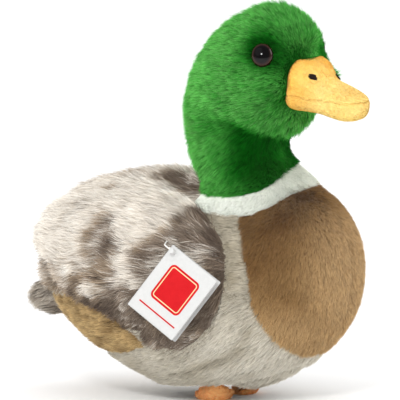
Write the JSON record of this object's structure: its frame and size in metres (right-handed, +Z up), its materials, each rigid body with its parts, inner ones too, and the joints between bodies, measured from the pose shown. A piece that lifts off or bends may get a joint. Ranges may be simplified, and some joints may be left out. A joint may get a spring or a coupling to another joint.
{
  "type": "plush duck",
  "caption": "Stuffed mallard drake with green head, white collar, brown breast, mottled wings, yellow bill, glossy eyes, small orange feet and a folded hang tag on a thread.",
  "frame": {"origin": "middle of the flat on the belly that rests on the floor", "axes": "+X towards the bill, +Y to the duck's left, +Z up"},
  "size_m": [0.2212, 0.158, 0.232],
  "materials": {
    "green_plush": "dense medium pile plush, combed back from the bill",
    "white_plush": "short pile plush",
    "brown_plush": "short pile plush",
    "beige_plush": "short pile plush",
    "mottled_plush": "long pile plush, cream with grey, brown and near-black tips",
    "gold_plush": "medium pile plush, gold with dark roots",
    "grey_plush": "medium pile plush",
    "yellow_velour": "very short pile velour",
    "orange_velour": "very short pile velour",
    "filling": "matt polyester fibre filling",
    "eye": "polished, clear brown round a black pupil",
    "washer": "as moulded",
    "card": "smooth printed card",
    "thread": "translucent nylon thread"
  },
  "bodies": {
    "duck": {"body_filling": "filling", "neck_filling": "filling", "head_filling": "filling", "breast_panel_left": "brown_plush", "breast_panel_right": "brown_plush", "side_panel_left": "beige_plush", "side_panel_right": "beige_plush", "belly_panel": "beige_plush", "back_panel": "mottled_plush", "rump_panel_left": "gold_plush", "rump_panel_right": "gold_plush", "tail": "grey_plush", "wing_left": "mottled_plush", "wing_right": "mottled_plush", "collar": "white_plush", "head_cover_left": "green_plush", "head_cover_right": "green_plush", "upper_bill": "yellow_velour", "lower_bill": "yellow_velour", "eye_left": "eye", "eye_right": "eye", "eye_washer_left": "washer", "eye_washer_right": "washer", "foot_left": "orange_velour", "foot_right": "orange_velour"},
    "tag": {"tag_back_leaf": "card", "tag_thread": "thread"},
    "tag_cover": {"tag_front_leaf": "card"}
  },
  "joints": [
    {"name": "tag_swing", "type": "hinge", "parent": "duck", "child": "tag", "pos_m": [0.00482, -0.05749, 0.0959], "axis": [0.2532, -0.9448, 0.2079], "range_deg": [-60, 45]},
    {"name": "tag_fold", "type": "hinge", "parent": "tag", "child": "tag_cover", "pos_m": [0.0144, -0.06976, 0.09577], "axis": [-0.5171, -0.3138, -0.7963], "range_deg": [-7, 150]}
  ]
}
